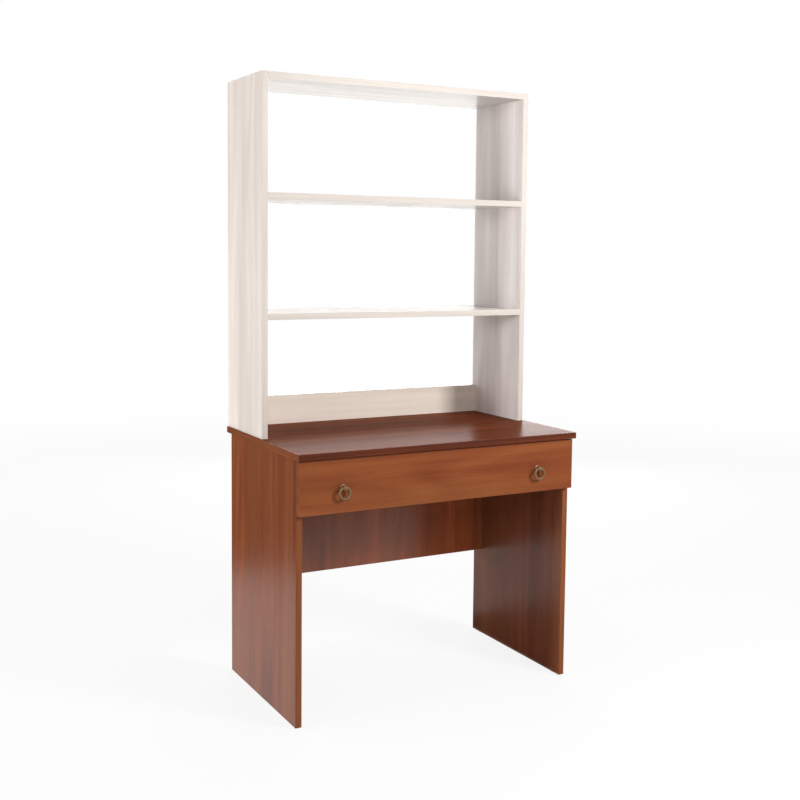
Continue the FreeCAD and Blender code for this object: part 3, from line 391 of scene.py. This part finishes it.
def make_paint():
    """White epoxy powder coat with a faint orange peel."""
    shader = Shader("white_epoxy")
    peel = shader.clouds(rate=700.0, detail=2.0, rough=0.5)
    stops = even_stops(*NOISE_RANGE, (222, 220, 214), (234, 232, 226))
    shader.set(Base_Color=shader.ramp(peel, stops))
    shader.dull(peel, low=0.3, high=0.42)
    shader.bump(peel, strength=0.15)
    return shader.material


def make_nylon():
    """White nylon of the rollers and the floor glides."""
    shader = Shader("white_nylon")
    clouds = shader.clouds(rate=90.0, detail=2.0, rough=0.5)
    stops = even_stops(*NOISE_RANGE, (214, 212, 204), (228, 226, 220))
    shader.set(Base_Color=shader.ramp(clouds, stops))
    shader.dull(clouds, low=0.42, high=0.52)
    return shader.material


def make_hardboard():
    """Thin pressed board with small dark and light fibres."""
    shader = Shader("brown_hardboard")
    fibres = shader.clouds(rate=500.0, detail=4.0, rough=0.7)
    clouds = shader.clouds(rate=30.0, detail=3.0, rough=0.5)
    tone = shader.total((fibres, FIBRE_SHARE), (clouds, BOARD_CLOUD_SHARE))
    stops = even_stops(*NOISE_RANGE, (112, 78, 50), (146, 106, 70), (170, 130, 90))
    shader.set(Base_Color=shader.ramp(tone, stops))
    shader.dull(fibres, low=0.6, high=0.75)
    shader.bump(fibres, strength=0.2, depth=FIBRE_DEPTH)
    return shader.material


# What each piece wears

FINISH_OF_NODE = {
    "desktop": "walnut_desktop",
    "desktop_end_bands": "walnut_band_deep",
    "drawer_front": "walnut_drawer",
    "drawer_front_bands": "walnut_band_level",
    "right_side_panel": "walnut_right_painted_shade",
    "modesty_panel": "walnut_modesty_painted_light",
    "modesty_bottom_band": "walnut_band_level",
    "hutch_left_side": "ash_upright",
    "hutch_left_front_band": "ash_band_upright",
    "hutch_right_side": "ash_right_painted_light",
    "hutch_right_front_band": "ash_band_upright",
    "hutch_top": "ash_top",
    "hutch_rear_rail": "ash_rail_painted_light",
}
FINISH_OF_SLOT = {
    "walnut_laminate": "walnut_upright",
    "walnut_edge_band": "walnut_band_upright",
    "dark_edge_band": "maroon_band",
    "ash_laminate": "ash_level",
    "ash_edge_band": "ash_band_level",
    "drawer_board": "drawer_lining",
    "hardboard": "hardboard",
    "epoxy_steel": "paint",
    "zinc_hardware": "zinc",
    "nylon": "nylon",
    "beech_dowel": "beech",
    "antique_brass": "brass",
}


def make_finishes():
    """Every finish by name."""
    laminates = {name: make_laminate(name, *parts) for name, parts in LAMINATES.items()}
    bands = {name: make_band(name, *parts) for name, parts in BANDS.items()}
    others = {
        "zinc": make_zinc(),
        "brass": make_brass(),
        "paint": make_paint(),
        "nylon": make_nylon(),
        "hardboard": make_hardboard(),
    }
    return {**laminates, **bands, **others}


def dress(finishes):
    """Gives each CAD node its finish, by its name or else by its slot in the record."""
    slots = {part["node"]: part["material_slot"] for part in frame["record"]["subparts"]}
    for name, node in frame["nodes"].items():
        finish = FINISH_OF_NODE.get(name) or FINISH_OF_SLOT[slots[name]]
        node.data.materials.clear()
        node.data.materials.append(finishes[finish])


# Backdrop and floor

WORLD_STRENGTH = 0.2
SEEN_STRENGTH = 1.0
FLOOR_SIZE = 60.0
FLOOR_COLOUR = (236, 235, 233)
FLOOR_ROUGH = 0.9
FLOOR_NEAR = 2.0
FLOOR_FAR = 6.0
FLOOR_WHITE_SHARE = 0.87


def make_world():
    """White where it is seen, and dimmer where it only gives light."""
    world = bpy.data.worlds.new("studio")
    bpy.context.scene.world = world
    world.use_nodes = True
    tree = Nodes(world.node_tree)
    background = world.node_tree.nodes["Background"]
    tree.feed(background.inputs["Color"], WHITE)
    strength = tree.spread(tree.seen_ray(), 0.0, 1.0, WORLD_STRENGTH, SEEN_STRENGTH)
    tree.feed(background.inputs["Strength"], strength)


def level_corners(low, high, height):
    """The corners of a level rectangle, from its low corner to its high one."""
    left, front = low
    right, rear = high
    return [(left, front, height), (right, front, height), (right, rear, height), (left, rear, height)]


def make_flat(name, corners):
    """A single flat face."""
    mesh = bpy.data.meshes.new(name)
    mesh.from_pydata(corners, [], [tuple(range(len(corners)))])
    return add_object(name, mesh)


def make_floor():
    """A wide white floor that keeps the object's shadow."""
    half = FLOOR_SIZE / 2
    floor = make_flat("floor", level_corners((-half, -half), (half, half), 0.0))
    shader = Shader("floor_white")
    shader.set(Base_Color=linear(FLOOR_COLOUR), Roughness=FLOOR_ROUGH, Specular_IOR_Level=0.0)
    glow = shader.add("ShaderNodeEmission", {"Color": WHITE, "Strength": SEEN_STRENGTH})
    coords = shader.add("ShaderNodeTexCoord")
    reach = shader.add("ShaderNodeVectorMath", {0: coords.outputs["Object"]}, operation="LENGTH")
    white_share = shader.spread(reach.outputs["Value"], FLOOR_NEAR, FLOOR_FAR, FLOOR_WHITE_SHARE, 1.0)
    share = shader.math("MULTIPLY", shader.seen_ray(), white_share)
    inputs = {0: share, 1: shader.surface.outputs[0], 2: glow.outputs[0]}
    mixed = shader.add("ShaderNodeMixShader", inputs)
    shader.feed(shader.tree.nodes["Material Output"].inputs["Surface"], mixed.outputs[0])
    floor.data.materials.append(shader.material)


# Lamps: metres and watts, each aimed at the object's middle unless it says otherwise

OBJECT_MIDDLE = (0.0, 0.0, 1.0)
LAMPS = {
    "left_key": {"place": (-4.2, -0.48, 1.28), "width": 0.4, "height": 0.4, "power": 60.0},
    "left_rear_softbox": {"place": (-3.6, 2.0, 1.5), "width": 2.4, "height": 2.0, "power": 48.0},
    "right_softbox": {"place": (1.5, -2.5, 2.1), "width": 0.7, "height": 0.7, "power": 78.0},
    "top_softbox": {"place": (0.0, -0.1, 3.3), "width": 1.8, "height": 1.4, "power": 19.0},
    "front_softbox": {"place": (-1.8, -4.3, 2.6), "width": 1.1, "height": 1.1, "power": 51.0},
    "rear_softbox": {
        "place": (1.95, 3.2, 1.4), "aim": (0.0, 0.0, 1.2), "width": 3.0, "height": 1.3, "power": 82.0,
    },
}


def make_lamp(name, place, width, height, power, aim=OBJECT_MIDDLE):
    data = bpy.data.lights.new(name, "AREA")
    data.shape = "RECTANGLE"
    data.size = width
    data.size_y = height
    data.energy = power
    lamp = add_object(name, data)
    lamp.visible_camera = False
    direction = Vector(aim) - Vector(place)
    turn = direction.to_track_quat("-Z", "Y")
    lamp.matrix_world = Matrix.Translation(place) @ turn.to_matrix().to_4x4()


def make_lamps():
    for name, lamp in LAMPS.items():
        make_lamp(name, **lamp)


# Dark cards, seen only in reflections: the unlit part of the studio, and the shade under the desk

CARD_COLOUR = (60, 58, 56)
CARD_ROUGH = 1.0
REAR_CARD_ENDS = ((-0.4, 1.45), (-2.75, 0.18))
REAR_CARD_LOW = 0.01
REAR_CARD_HIGH = 2.6
FLOOR_CARDS = {
    "front_card": {"low": (-1.5, -2.7), "high": (3.0, -1.5), "height": 0.01},
    "under_card": {"low": (-0.42, -0.28), "high": (0.42, 0.38), "height": 0.003},
}


def make_card_grey():
    shader = Shader("card_grey")
    shader.set(Base_Color=linear(CARD_COLOUR), Roughness=CARD_ROUGH, Specular_IOR_Level=0.0)
    return shader.material


def make_card(name, corners, grey):
    card = make_flat(name, corners)
    card.data.materials.append(grey)
    card.visible_camera = False
    card.visible_diffuse = False
    card.visible_transmission = False
    card.visible_shadow = False


def make_cards():
    """One card stands at the rear left, and the others lie in front of the desk and under it."""
    grey = make_card_grey()
    near, far = REAR_CARD_ENDS
    low, high = REAR_CARD_LOW, REAR_CARD_HIGH
    make_card("rear_card", [(*near, low), (*far, low), (*far, high), (*near, high)], grey)
    for name, card in FLOOR_CARDS.items():
        make_card(name, level_corners(**card), grey)


bpy.context.scene.view_settings.view_transform = "Standard"
make_camera()
make_world()
make_floor()
make_lamps()
make_cards()
dress(make_finishes())
